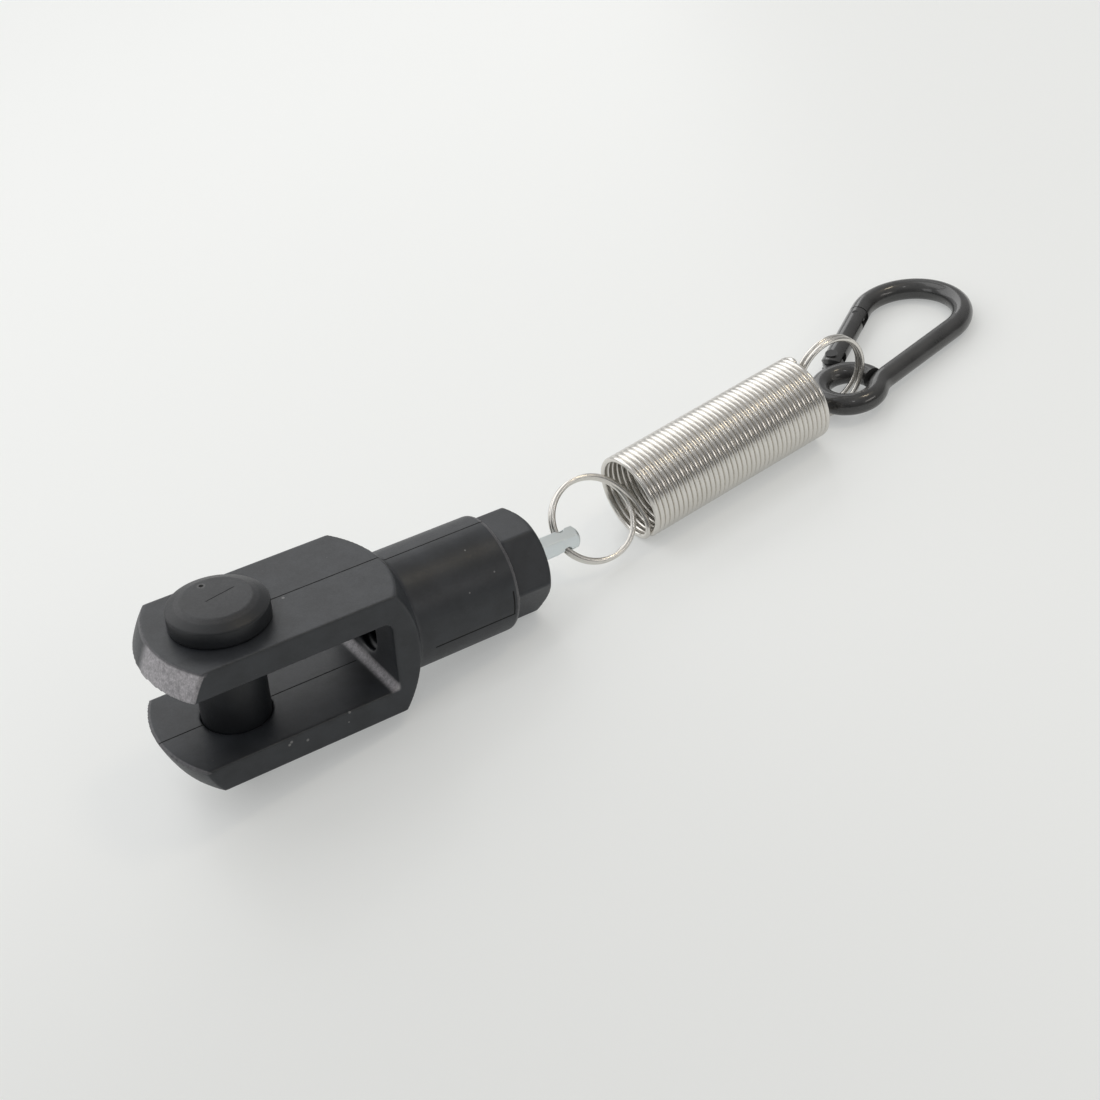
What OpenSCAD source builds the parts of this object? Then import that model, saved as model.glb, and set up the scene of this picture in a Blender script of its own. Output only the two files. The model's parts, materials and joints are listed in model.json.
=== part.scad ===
// Spring tether: a fork head with a headed pin, a cross-drilled pull rod, an
// extension spring with double loops and a small snap hook on its far loop.
// The frame: origin at the pin's centre in the fork's slot, +Z up from the surface
// that it lies on, +X along the object from the fork's nose to the snap hook.

/* [Fork head] */
// Side of the fork's square section
fork_w = 24; // [18:0.5:36]
// Height of the slot between the prongs
slot_h = 14; // [10:0.5:18]
// From the pin's centre to the slot's end wall
slot_reach = 25; // [18:0.5:34]
// Radius where the slot's end wall meets the prongs
slot_fillet = 1.7; // [1:0.1:4]
// From the pin's centre to the point of the nose's dome
nose_reach = 15.4; // [12:0.1:20]
// Radius of the nose's dome
nose_dome_r = 24.2; // [20:0.1:40]
// Wall between the slot's end and the corners of the turned shoulder
shoulder_wall = 2.8; // [1:0.1:6]
// Radius of the shoulder's dome
shoulder_dome_r = 31.5; // [20:0.5:45]
// Diameter of the round neck
neck_d = 22; // [18:0.5:26]
// Length of the neck from the slot's end wall to its end
neck_len = 26; // [16:0.5:40]
// Chamfer round the neck's end
neck_chamfer = 0.4; // [0.2:0.1:1]
// Width of the hexagon across its flats
hex_af = 17.4; // [15:0.1:18]
// Length of the hexagon beyond the neck
hex_len = 8.1; // [4:0.1:12]
// Length of the turned chamfer at the hexagon's end
hex_chamfer = 1.1; // [0.5:0.1:1.5]
// Diameter of the hexagon's end face
hex_face_d = 16.8; // [14:0.1:17]
// Core diameter of the thread through the neck
thread_core_d = 10.1; // [8:0.1:12]

/* [Fork pin] */
// Diameter of the pin
pin_d = 12; // [8:0.1:14]
// Radial running clearance of the pin in the prongs
pin_play = 0.06; // [0.02:0.01:0.1]
// Diameter of the pin's head
pin_head_d = 17.2; // [15:0.1:22]
// Diameter of the flat on top of the head
pin_top_d = 11.9; // [8:0.1:14]
// Height of the head's straight side
pin_head_side = 3; // [2:0.1:5]
// Height of the head's bevel
pin_head_bevel = 1.2; // [0.5:0.1:2]
// How far the pin's tail stands out below the fork
pin_tail = 7.2; // [4:0.1:12]
// Lead-in chamfer at the pin's end
pin_chamfer = 3; // [0.5:0.1:3.5]
// Gap between a prong and the head or the clip
face_gap = 0.2; // [0.1:0.05:0.5]

/* [Retaining clip] */
// Outer diameter of the clip
clip_d = 18.6; // [16:0.1:24]
// Thickness of the clip
clip_t = 1.2; // [0.8:0.1:2]
// Width of the clip's band
clip_band = 2; // [1.5:0.1:3]
// Depth of the groove in the pin
groove_depth = 1; // [0.5:0.1:1.5]
// Width of the clip's mouth
clip_mouth = 8; // [5:0.5:9]
// Gap between the clip and its groove
groove_gap = 0.1; // [0.05:0.01:0.2]

/* [Pull rod] */
// Width of the hexagonal rod across its flats
rod_af = 4.1; // [3.6:0.1:6]
// How far the rod stands out of the fork's hexagon
rod_reach = 11.3; // [10:0.1:20]
// From the cross-hole to the rod's tip
hole_to_tip = 3.2; // [2.8:0.1:5]
// Diameter of the cross-hole
cross_hole_d = 2.9; // [2.8:0.1:3.1]
// Diameter of the rod's root, which screws into the bush
rod_root_d = 3.4; // [2.5:0.1:3.5]
// Length of the rod's root
rod_root_len = 12; // [8:0.5:16]
// Length of the threaded bush in the neck
bush_len = 14; // [10:0.5:18]
// How deep the bush sits below the hexagon's end
bush_recess = 1; // [0.5:0.1:3]
// Radial gap drawn between screwed parts
screw_gap = 0.05; // [0.02:0.01:0.1]

/* [Spring] */
// Diameter of the spring's wire
wire_d = 1.1; // [0.8:0.05:1.3]
// Outer diameter of the coils
coil_od = 17.1; // [14:0.1:22]
// Number of close-wound turns
turns = 40; // [20:1:60]
// Turns at each end that keep their pitch when the spring stretches
end_turns = 3; // [2:1:5]
// Air between neighbouring turns
turn_gap = 0.01; // [0.005:0.005:0.05]
// From the end of the coils to the middle of a loop
loop_stand = 7.6; // [7:0.1:10]
// Sideways shift of the far loop's middle from the coils' axis
far_loop_shift = 1.3; // [0:0.1:2]
// Lean of the near loop from upright, turned about the spring's axis
near_lean = 42.6; // [30:0.1:60]
// Turn of the spring on the surface, seen from above
spring_turn = -0.5; // [-10:0.1:10]
// How far the near loop's wire sits short of the middle of the cross-hole
loop_short = 0.3; // [0.2:0.05:0.4]

/* [Snap hook] */
// Diameter of the hook's wire
hook_wire = 4.4; // [3.5:0.1:5]
// Radius of the eye at the middle of its wire
eye_r = 5.8; // [5.5:0.1:8]
// Distance of the straight side from the eye's middle, across the hook
spine_drop = 3.7; // [2:0.05:4]
// From the eye's middle to the middle of the bow, along the hook
bow_x = 29.1; // [24:0.1:36]
// Radius of the bow at the middle of its wire
bow_r = 10.7; // [9:0.1:13]
// Angle between the gate and the straight side
gate_angle = 22.5; // [18:0.5:26]
// Straight stretch from the bow to the gate's tip joint
nose_len = 2; // [1.5:0.1:4]
// From the gate's tip joint to its rivet
gate_len = 19; // [17:0.1:20]
// Turn of the hook on the surface, seen from above
hook_turn = 8.3; // [-10:0.1:12]
// From the far loop's middle to the eye's middle, along the spring
eye_ahead = 4.3; // [4:0.1:5]
// Sideways shift of the eye from the far loop's plane
eye_shift = 1; // [0:0.1:2]
// Air between the far loop's wire and the eye that rests over it
hook_gap = 0.3; // [0.1:0.05:0.6]

/* [Gate] */
// Width of the slot at the gate's tip
tip_slot = 1.9; // [1.6:0.1:2.2]
// Thickness of the hook's tongue, which the tip slot takes
tongue_t = 1.4; // [1:0.1:1.6]
// Diameter of the latch pin across the tip slot
latch_pin_d = 1.2; // [0.8:0.1:1.4]
// From the gate's tip joint to the latch pin
latch_reach = 2.3; // [2:0.1:3]
// Width of the slot at the gate's hinge
hinge_slot = 2; // [1.8:0.1:2.4]
// Thickness of the hinge lug
lug_t = 1.6; // [1.2:0.1:1.7]
// Radius of the hinge lug's end
lug_r = 2; // [1.6:0.1:2.2]
// Distance of the lug's flat from the rivet, which the plunger bears on
lug_flat = 1.5; // [1.2:0.1:1.7]
// Diameter of the rivet
rivet_d = 1.6; // [1.2:0.1:1.8]
// Diameter of the rivet's heads
rivet_head_d = 2.6; // [2.2:0.1:3]
// Radial running clearance of the gate on its rivet
rivet_play = 0.05; // [0.02:0.01:0.1]
// Diameter of the plunger in the gate
plunger_d = 2.4; // [2:0.1:2.6]
// Length of the plunger
plunger_len = 4.8; // [3:0.1:6]
// Diameter of the gate spring's wire
gate_wire_d = 0.3; // [0.2:0.05:0.4]
// Turns of the gate spring
gate_turns = 9; // [6:1:12]

/* [Hidden] */
$fn = 64;
// A cut reaches this far past the face that it opens
past = 1;
// Pieces of one solid that only touch are sunk this far into each other
weld = 0.02;
// The hook's straight nose starts this deep in the bow, and is thinner by the step
nose_sink = 1;
nose_step = 0.05;
// Radial play of a pin that is pressed into its own piece
press_play = 0.01;

fork_r = fork_w / 2;
fork_corner_r = fork_r * sqrt(2);
pin_r = pin_d / 2;
neck_r = neck_d / 2;
shoulder_x = slot_reach + shoulder_wall;
neck_end = slot_reach + neck_len;
hex_end = neck_end + hex_len;
// The fork rests on the edge of the pin's tail and on that of the neck's end
tail_z = -(fork_r + pin_tail);
tilt = atan((-tail_z - neck_r) / (neck_end - neck_chamfer - pin_r + pin_chamfer));
floor_z = -(neck_end - neck_chamfer) * sin(tilt) - neck_r * cos(tilt);

rod_tip = hex_end + rod_reach;
hole_x = rod_tip - hole_to_tip;
rod_seat = hex_end - bush_recess;
thread_r = thread_core_d / 2;

wire_r = wire_d / 2;
coil_r = coil_od / 2 - wire_r;
pitch = wire_d + turn_gap;
coil_len = turns * pitch;
// Two strands of a loop lie side by side
strand_shift = wire_r - weld / 2;
coil_web = wire_d / 2;
spring_z = floor_z + coil_od / 2;
// The near loop's wire runs along the cross-hole, so the spring lies a little aside
hole_at = [hole_x * cos(tilt), 0, -hole_x * sin(tilt)];
spring_y = (spring_z - hole_at.z) * tan(near_lean);
near_loop_x = hole_at.x - loop_short + coil_r;
// Measured along the spring from the near loop's middle
coils_x = loop_stand;
far_loop_x = coils_x + coil_len + loop_stand;

hook_r = hook_wire / 2;
// The eye lies over the far loop's wire, and the bow's end touches the surface
loop_top = wire_d + hook_gap;
hook_pitch = asin(loop_top / (bow_x + bow_r + eye_r));
eye_z = floor_z + hook_r + (bow_x + bow_r) * sin(hook_pitch);
eye_dx = far_loop_x + eye_ahead;
eye_at = [near_loop_x + eye_dx * cos(spring_turn) - eye_shift * sin(spring_turn),
    spring_y + eye_dx * sin(spring_turn) + eye_shift * cos(spring_turn), eye_z];
bow_y = bow_r - spine_drop;
// The gate's tip joint, and the eye's middle seen along the gate
tip_at = [bow_x - bow_r * sin(gate_angle) - nose_len * cos(gate_angle),
    bow_y + bow_r * cos(gate_angle) - nose_len * sin(gate_angle), 0];
eye_along = tip_at.x * cos(gate_angle) + tip_at.y * sin(gate_angle);
eye_across = tip_at.y * cos(gate_angle) - tip_at.x * sin(gate_angle);
lug_angle = atan2(eye_across, eye_along - gate_len);
lug_len = norm([eye_along - gate_len, eye_across]) - eye_r;
tip_gap = 0.3;
notch_play = 0.2;
plunger_gap = 0.1;
plunger_play = 0.08;
plunger_x = gate_len - lug_flat - plunger_gap;
slot_depth = latch_reach + 2;
hinge_depth = lug_r + 0.8;
spring_seat = 8;
// The lug's corner drives the plunger back this far as the gate opens
plunger_travel = lug_r - lug_flat;

// Turns a child that is drawn along Z so that it lies along X
module along_x() {
    rotate([0, 90, 0]) children();
}

module fork_frame() {
    rotate([0, tilt, 0]) children();
}

// The origin is the near loop's middle, and X runs along the coils
module spring_frame() {
    translate([near_loop_x, spring_y, spring_z]) rotate([0, 0, spring_turn]) children();
}

module hook_frame() {
    translate(eye_at) rotate([0, hook_pitch, hook_turn]) children();
}

// X runs along the gate from its tip to its rivet, and Y points into the hook
module gate_frame() {
    hook_frame() translate(tip_at) rotate([0, 0, 180 + gate_angle]) children();
}

// Rings of wire from x = 0, held together by a thin sleeve at the wire's middle
module ring_run(count, ring_r, wire, step, sleeve) {
    along_x() rotate_extrude() {
        for (i = [0 : count - 1])
            translate([ring_r, (i + 0.5) * step]) circle(d = wire);
        translate([ring_r - sleeve / 2, step / 2]) square([sleeve, (count - 1) * step]);
    }
}

// A full loop of two strands round Y, with its root strand on the +X side.
// The root runs down to the coils where up is -1, and up to them where it is 1
module end_loop(up) {
    for (side = [-1, 1])
        translate([0, side * strand_shift, 0])
            rotate([90, 0, 0]) rotate_extrude() translate([coil_r, 0]) circle(r = wire_r);
    translate([coil_r, 0, up > 0 ? 0 : -coil_r]) cylinder(r = wire_r, h = coil_r);
}

// The slot with round corners at its end wall
module fork_slot() {
    half = slot_h / 2;
    translate([-nose_reach - past, -fork_r - past, -half])
        cube([nose_reach + past + slot_reach - slot_fillet, fork_w + 2 * past, slot_h]);
    translate([slot_reach - slot_fillet - weld, -fork_r - past, -half + slot_fillet])
        cube([slot_fillet + weld, fork_w + 2 * past, slot_h - 2 * slot_fillet]);
    for (side = [-1, 1])
        translate([slot_reach - slot_fillet, 0, side * (half - slot_fillet)])
            rotate([90, 0, 0])
                cylinder(r = slot_fillet, h = fork_w + 2 * past, center = true);
}

module fork_head() {
    shoulder_mid = shoulder_x - sqrt(pow(shoulder_dome_r, 2) - pow(fork_corner_r, 2));
    hex_corner_r = hex_af / 2 / cos(30);
    color([0.16, 0.165, 0.17]) fork_frame() difference() {
        union() {
            intersection() {
                translate([-nose_reach - past, -fork_r, -fork_r])
                    cube([nose_reach + past + shoulder_x + fork_r, fork_w, fork_w]);
                translate([nose_dome_r - nose_reach, 0, 0]) sphere(r = nose_dome_r);
                translate([shoulder_mid, 0, 0]) along_x() sphere(r = shoulder_dome_r);
            }
            translate([slot_reach + weld, 0, 0]) along_x()
                cylinder(r = neck_r, h = neck_len - neck_chamfer - weld);
            translate([neck_end - neck_chamfer, 0, 0]) along_x()
                cylinder(r1 = neck_r, r2 = neck_r - neck_chamfer, h = neck_chamfer);
            intersection() {
                translate([slot_reach + weld, 0, 0]) along_x() rotate([0, 0, 30])
                    cylinder(r = hex_corner_r, h = neck_len + hex_len - weld, $fn = 6);
                union() {
                    translate([slot_reach, 0, 0]) along_x()
                        cylinder(r = neck_r, h = neck_len + hex_len - hex_chamfer);
                    translate([hex_end - hex_chamfer, 0, 0]) along_x()
                        cylinder(r1 = hex_corner_r + weld, r2 = hex_face_d / 2, h = hex_chamfer);
                }
            }
        }
        fork_slot();
        cylinder(r = pin_r + pin_play, h = fork_w + 2 * past, center = true);
        translate([slot_reach - past, 0, 0]) along_x()
            cylinder(r = thread_r, h = neck_len + hex_len + 2 * past);
    }
}

module rod_bush() {
    color([0.62, 0.64, 0.66]) fork_frame() difference() {
        translate([rod_seat - bush_len, 0, 0]) along_x()
            cylinder(r = thread_r - screw_gap, h = bush_len);
        translate([rod_seat - bush_len - past, 0, 0]) along_x()
            cylinder(d = rod_root_d + 2 * screw_gap, h = bush_len + 2 * past);
    }
}

module draw_rod() {
    corner_r = rod_af / 2 / cos(30);
    tip_chamfer = rod_af / 5;
    color([0.76, 0.80, 0.81]) fork_frame() difference() {
        union() {
            translate([rod_seat - rod_root_len, 0, 0]) along_x()
                cylinder(d = rod_root_d, h = rod_root_len + weld);
            // Two of the hexagon's flats face along the cross-hole
            intersection() {
                translate([rod_seat, 0, 0]) rotate([-near_lean, 0, 0]) along_x()
                    rotate([0, 0, 30]) cylinder(r = corner_r, h = rod_tip - rod_seat, $fn = 6);
                union() {
                    translate([rod_seat, 0, 0]) along_x()
                        cylinder(r = corner_r + weld, h = rod_tip - rod_seat - tip_chamfer);
                    translate([rod_tip - tip_chamfer, 0, 0]) along_x()
                        cylinder(r1 = corner_r + weld, r2 = corner_r - tip_chamfer,
                            h = tip_chamfer);
                }
            }
        }
        translate([hole_x, 0, 0]) rotate([-near_lean, 0, 0])
            cylinder(d = cross_hole_d, h = 2 * rod_af, center = true);
    }
}

module clevis_pin() {
    head_z = fork_r + face_gap;
    groove_z = fork_r + face_gap - groove_gap;
    color([0.17, 0.175, 0.18]) fork_frame() difference() {
        union() {
            translate([0, 0, head_z + pin_head_side])
                cylinder(d1 = pin_head_d, d2 = pin_top_d, h = pin_head_bevel);
            translate([0, 0, head_z]) cylinder(d = pin_head_d, h = pin_head_side);
            translate([0, 0, tail_z + pin_chamfer])
                cylinder(r = pin_r, h = head_z - tail_z - pin_chamfer + weld);
            translate([0, 0, tail_z])
                cylinder(r1 = pin_r - pin_chamfer, r2 = pin_r, h = pin_chamfer);
        }
        translate([0, 0, -groove_z - clip_t - 2 * groove_gap]) difference() {
            cylinder(r = pin_r + past, h = clip_t + 2 * groove_gap);
            translate([0, 0, -past])
                cylinder(r = pin_r - groove_depth, h = clip_t + 2 * groove_gap + 2 * past);
        }
    }
}

module retaining_clip() {
    inner_r = pin_r - groove_depth + groove_gap;
    lug_w = clip_mouth / 2;
    color([0.45, 0.46, 0.47]) fork_frame()
        translate([0, 0, -fork_r - face_gap - clip_t]) difference() {
            cylinder(d = clip_d, h = clip_t);
            difference() {
                translate([0, 0, -past])
                    cylinder(d = clip_d - 2 * clip_band, h = clip_t + 2 * past);
                for (turn = [0, 120, 240])
                    rotate([0, 0, turn]) translate([-clip_d / 2, -lug_w / 2, -past])
                        cube([clip_d / 2, lug_w, clip_t + 2 * past]);
            }
            translate([0, 0, -past]) cylinder(r = inner_r, h = clip_t + 2 * past);
            translate([0, -clip_mouth / 2, -past])
                cube([clip_d, clip_mouth, clip_t + 2 * past]);
        }
}

module spring_near_end() {
    color([0.72, 0.71, 0.68]) spring_frame() {
        translate([coils_x, 0, 0]) ring_run(end_turns, coil_r, wire_d, pitch, coil_web);
        rotate([-near_lean, 0, 0]) end_loop(-1);
    }
}

module spring_coils() {
    color([0.74, 0.73, 0.70]) spring_frame()
        translate([coils_x + end_turns * pitch, 0, 0])
            ring_run(turns - 2 * end_turns, coil_r, wire_d, pitch, coil_web);
}

module spring_far_end() {
    color([0.72, 0.71, 0.68]) spring_frame() {
        translate([coils_x + (turns - end_turns) * pitch, 0, 0])
            ring_run(end_turns, coil_r, wire_d, pitch, coil_web);
        translate([far_loop_x, far_loop_shift, 0]) mirror([1, 0, 0]) end_loop(1);
    }
}

// The tongue on the bow's end, with a notch that lets the latch pin out inwards
module hook_tongue() {
    width = hook_wire - 1.4;
    notch_w = latch_pin_d + 2 * notch_play;
    difference() {
        translate([-hook_r / 2, -width / 2, -tongue_t / 2])
            cube([hook_r / 2 + latch_reach + notch_w / 2 + 0.6, width, tongue_t]);
        translate([latch_reach, 0, 0])
            cylinder(d = notch_w, h = tongue_t + 2 * past, center = true);
        translate([latch_reach - notch_w / 2, 0, -tongue_t / 2 - past])
            cube([notch_w, hook_wire, tongue_t + 2 * past]);
    }
}

// The flattened lug that the gate's fork straddles, joined to the eye
module hinge_lug() {
    difference() {
        translate([gate_len, 0, -lug_t / 2]) {
            cylinder(r = lug_r, h = lug_t);
            rotate([0, 0, lug_angle]) translate([0, -lug_r, 0])
                cube([lug_len, 2 * lug_r, lug_t]);
        }
        translate([gate_len - lug_flat - hook_wire, -hook_wire, -lug_t / 2 - past])
            cube([hook_wire, 2 * hook_wire, lug_t + 2 * past]);
        translate([gate_len, 0, 0])
            cylinder(r = rivet_d / 2 + press_play, h = lug_t + 2 * past, center = true);
    }
}

module hook_body() {
    spine_start = sqrt(eye_r * eye_r - spine_drop * spine_drop);
    color([0.20, 0.20, 0.205]) {
        hook_frame() {
            rotate_extrude() translate([eye_r, 0]) circle(r = hook_r);
            translate([spine_start, -spine_drop, 0]) along_x()
                cylinder(r = hook_r, h = bow_x - spine_start + weld);
            translate([bow_x, bow_y, 0]) rotate([0, 0, -90])
                rotate_extrude(angle = 180 + gate_angle)
                    translate([bow_r, 0]) circle(r = hook_r);
        }
        gate_frame() translate([-nose_len - nose_sink, 0, 0]) along_x()
            cylinder(r = hook_r - nose_step, h = nose_len + nose_sink);
        gate_frame() {
            hook_tongue();
            hinge_lug();
        }
    }
}

module gate_rivet() {
    head_sink = 0.3;
    head_rise = 0.2;
    color([0.35, 0.35, 0.36]) gate_frame() translate([gate_len, 0, 0]) {
        cylinder(d = rivet_d, h = 2 * (hook_r - head_sink), center = true);
        translate([0, 0, hook_r - head_sink - weld])
            cylinder(d = rivet_head_d, h = head_sink + head_rise + weld);
        translate([0, 0, -hook_r])
            cylinder(d = rivet_head_d, h = head_sink + weld);
    }
}

module hook_gate() {
    head_pocket = 0.38;
    color([0.24, 0.24, 0.245]) gate_frame() difference() {
        union() {
            translate([tip_gap, 0, 0]) along_x()
                cylinder(r = hook_r, h = gate_len - tip_gap);
            intersection() {
                translate([gate_len - weld, 0, 0]) along_x()
                    cylinder(r = hook_r, h = hook_r + past);
                translate([gate_len, 0, 0])
                    cylinder(r = hook_r, h = 2 * hook_r + 2 * past, center = true);
            }
        }
        translate([-past, -hook_r - past, -tip_slot / 2])
            cube([past + slot_depth, 2 * (hook_r + past), tip_slot]);
        translate([gate_len - hinge_depth, -hook_r - past, -hinge_slot / 2])
            cube([hinge_depth + hook_r + past, 2 * (hook_r + past), hinge_slot]);
        translate([spring_seat, 0, 0]) along_x()
            cylinder(d = plunger_d + 2 * plunger_play, h = plunger_x + past / 2 - spring_seat);
        translate([gate_len, 0, 0]) {
            cylinder(r = rivet_d / 2 + rivet_play, h = 2 * (hook_r + past), center = true);
            for (side = [0, 1])
                mirror([0, 0, side]) translate([0, 0, hook_r - head_pocket])
                    cylinder(r = rivet_head_d / 2 + rivet_play, h = past);
        }
        translate([latch_reach, 0, 0])
            cylinder(r = latch_pin_d / 2 + press_play, h = 2 * (hook_r + past), center = true);
    }
}

module latch_pin() {
    color([0.4, 0.4, 0.41]) gate_frame() translate([latch_reach, 0, 0])
        cylinder(d = latch_pin_d, h = 2 * (hook_r - 0.1), center = true);
}

module gate_plunger() {
    color([0.6, 0.6, 0.6]) gate_frame()
        translate([plunger_x - plunger_len, 0, 0]) along_x()
            cylinder(d = plunger_d, h = plunger_len);
}

module gate_spring() {
    room = plunger_x - plunger_travel - plunger_len - spring_seat;
    color([0.7, 0.7, 0.7]) gate_frame()
        translate([spring_seat + room / (2 * gate_turns), 0, 0])
            ring_run(gate_turns, plunger_d / 2 - gate_wire_d, gate_wire_d,
                room / (gate_turns + 1), gate_wire_d / 2);
}

fork_head();
rod_bush();
draw_rod();
clevis_pin();
retaining_clip();
spring_near_end();
spring_coils();
spring_far_end();
hook_body();
gate_rivet();
hook_gate();
latch_pin();
gate_plunger();
gate_spring();
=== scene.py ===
import json
import math

import bmesh
import bpy
from mathutils import Matrix, Vector
from mathutils.geometry import interpolate_bezier


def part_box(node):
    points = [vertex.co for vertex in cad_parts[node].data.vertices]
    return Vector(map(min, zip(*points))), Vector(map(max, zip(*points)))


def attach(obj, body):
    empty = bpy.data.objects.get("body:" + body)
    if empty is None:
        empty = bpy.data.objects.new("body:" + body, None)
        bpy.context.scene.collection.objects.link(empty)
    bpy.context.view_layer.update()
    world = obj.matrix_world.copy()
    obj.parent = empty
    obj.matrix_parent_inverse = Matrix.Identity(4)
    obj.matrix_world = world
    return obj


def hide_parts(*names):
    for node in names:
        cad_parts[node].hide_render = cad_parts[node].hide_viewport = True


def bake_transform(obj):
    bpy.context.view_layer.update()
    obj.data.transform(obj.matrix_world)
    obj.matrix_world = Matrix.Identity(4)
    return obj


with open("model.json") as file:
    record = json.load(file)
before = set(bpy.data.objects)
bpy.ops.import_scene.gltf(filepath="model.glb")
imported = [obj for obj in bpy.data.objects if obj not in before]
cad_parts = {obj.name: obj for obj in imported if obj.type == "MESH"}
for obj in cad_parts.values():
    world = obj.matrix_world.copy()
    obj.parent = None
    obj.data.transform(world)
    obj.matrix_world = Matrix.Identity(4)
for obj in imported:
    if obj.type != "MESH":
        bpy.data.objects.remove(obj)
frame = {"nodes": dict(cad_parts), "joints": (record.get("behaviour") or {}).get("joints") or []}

MM = 0.001
X = Vector((1, 0, 0))
Y = Vector((0, 1, 0))
Z = Vector((0, 0, 1))

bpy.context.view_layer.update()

# ---------------------------------------------------------------- sizes, in millimetres
# Each piece has a frame of its own. The fork's has X along the neck and Z along the pin.
# The spring's has X along the coils. The hook's has X along its straight side, and the
# gate's has X from the nose's tip to the rivet.

SLOT_END = 25               # rear of the slot between the prongs
BUSH_START = 44.1           # where the bush begins in the neck's bore
THREAD_PITCH = 1.75
THREAD_CORE_R = 5.05
THREAD_DEPTH = 0.85
THREAD_LAP = 0.2            # how far the cutter reaches inwards of the core
THREAD_HALF_FOOT = 0.68
THREAD_HALF_CREST = 0.12
THREAD_STEPS = 32           # steps a turn
FORK_VOXEL = 0.34
ROD_VOXEL = 0.1
SOFTENING_ROUNDS = 2

PIN_R = 6
PIN_HEAD_R = 8.6
PIN_TOP_R = 5.95
PIN_HEAD_FOOT = 12.2
PIN_HEAD_SIDE = 3
PIN_HEAD_BEVEL = 1.2
PIN_TAIL = -19.2
PIN_CHAMFER = 3
PIN_EDGE = 0.3              # how much each corner is rounded
GROOVE_TOP = -12.1
GROOVE_FOOT = -13.5
GROOVE_R = 5

WIRE_R = 0.545              # a hair thinner than the room of each turn
WIRE_SIDES = 12
TURN_STEPS = 64             # steps of the wire's line in one turn
COIL_R = 8
COIL_TURNS = 39.507
COIL_START = 247.4          # degrees from Y towards Z
COIL_START_X = 8.155
COIL_END_X = 51.445
END_TURNS = 3               # turns at each end that never open
STRAND = 1.11               # between the two strands of a double loop
LOOP_TO_LOOP = 59.6
LOOP_ROOT_X = 9.1           # where a loop's wire passes into the coils
LOOP_ROOT_Z = 3.2
NEAR_LEAN = 42.6            # degrees that the near loop leans about X
NEAR_FIRST = 290
NEAR_SWEEP = 605
NEAR_ROOT_SHIFT = 0.85
FAR_FIRST = 225
FAR_SWEEP = 695
FAR_LOOP_SHIFT = 1.3
FAR_OPENED = 1.5            # how far the far loop's strands stand apart at the bottom
OPENED_AT = 625             # the angle at the middle of that gap, in degrees
OPENED_OVER = 50
UNROLLED = 0.05

HOOK_R = 2.2
HOOK_SIDES = 24
EYE_R = 5.8
EYE_FIRST = -376            # degrees at which the eye's wire starts
EYE_LAST = -62              # and at which it leaves for the straight side
SPINE_X = 7.6
SPINE_Y = -3.7
BOW_X = 29.1
BOW_R = 10.7
BOW_Y = 7
GATE_ANGLE = 22.5
NOSE_LEN = 2
GATE_LEN = 19
LUG_R = 2
LUG_T = 1.6
LUG_FLAT = 1.5
TONGUE_T = 1.4
TONGUE_HALF = 1.5
TONGUE_ROOT = -1.1
TONGUE_TIP = 3.7
NOTCH_X = 2.3
NOTCH_R = 0.8
HOOK_PITCH = 1.7594         # degrees that the hook's bow hangs down to the floor
HOOK_TURN = 8.3
EYE_FROM_LOOP = Vector((4.3, -0.3, 0))

# ---------------------------------------------------------------- places

joints = {joint["name"]: joint for joint in frame["joints"]}
pin_axis = Vector(joints["pin_turn"]["axis"])
spring_axis = Vector(joints["spring_stretch"]["axis"])
far_loop = Vector(joints["hook_swing"]["pos_m"]) / MM

fork_tilt = math.atan2(pin_axis.x, pin_axis.z)
spring_turn = math.atan2(spring_axis.y, spring_axis.x)
floor_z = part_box("spring_coils")[0].z / MM

in_metres = Matrix.Scale(MM, 4)
fork_way = in_metres @ Matrix.Rotation(fork_tilt, 4, "Y")
far_loop_way = Matrix.Translation(far_loop) @ Matrix.Rotation(spring_turn, 4, "Z")
spring_way = in_metres @ far_loop_way @ Matrix.Translation(
    (-LOOP_TO_LOOP, -FAR_LOOP_SHIFT, 0))

eye_at = far_loop_way @ EYE_FROM_LOOP
eye_at.z = floor_z + HOOK_R + (BOW_X + BOW_R) * math.sin(math.radians(HOOK_PITCH))
hook_way = (in_metres @ Matrix.Translation(eye_at)
    @ Matrix.Rotation(math.radians(HOOK_TURN), 4, "Z")
    @ Matrix.Rotation(math.radians(HOOK_PITCH), 4, "Y"))
gate_turn = math.radians(GATE_ANGLE)
nose_tip = Vector((BOW_X - BOW_R * math.sin(gate_turn) - NOSE_LEN * math.cos(gate_turn),
    BOW_Y + BOW_R * math.cos(gate_turn) - NOSE_LEN * math.sin(gate_turn), 0))
gate_way = (hook_way @ Matrix.Translation(nose_tip)
    @ Matrix.Rotation(math.pi + gate_turn, 4, "Z"))


# ---------------------------------------------------------------- making pieces

def link(name, data):
    """A new object of the data, in the scene."""
    piece = bpy.data.objects.new(name, data)
    bpy.context.collection.objects.link(piece)
    return piece


def finished_mesh(holder, name, way):
    """The mesh of an object with its modifiers or bevel, moved to its place."""
    graph = bpy.context.evaluated_depsgraph_get()
    mesh = bpy.data.meshes.new_from_object(holder.evaluated_get(graph))
    mesh.name = name
    mesh.transform(way)
    bpy.data.objects.remove(holder)
    return mesh


def add_piece(name, mesh, material, body=None):
    """A smooth piece with its material. A blended one is given no body here."""
    for polygon in mesh.polygons:
        polygon.use_smooth = True
    mesh.materials.clear()
    mesh.materials.append(material)
    piece = link(name, mesh)
    if body:
        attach(piece, body)
    return piece


def mesh_of(bm, name):
    """The bmesh's mesh. The bmesh is used up."""
    mesh = bpy.data.meshes.new(name)
    bm.to_mesh(mesh)
    bm.free()
    return mesh


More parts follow.
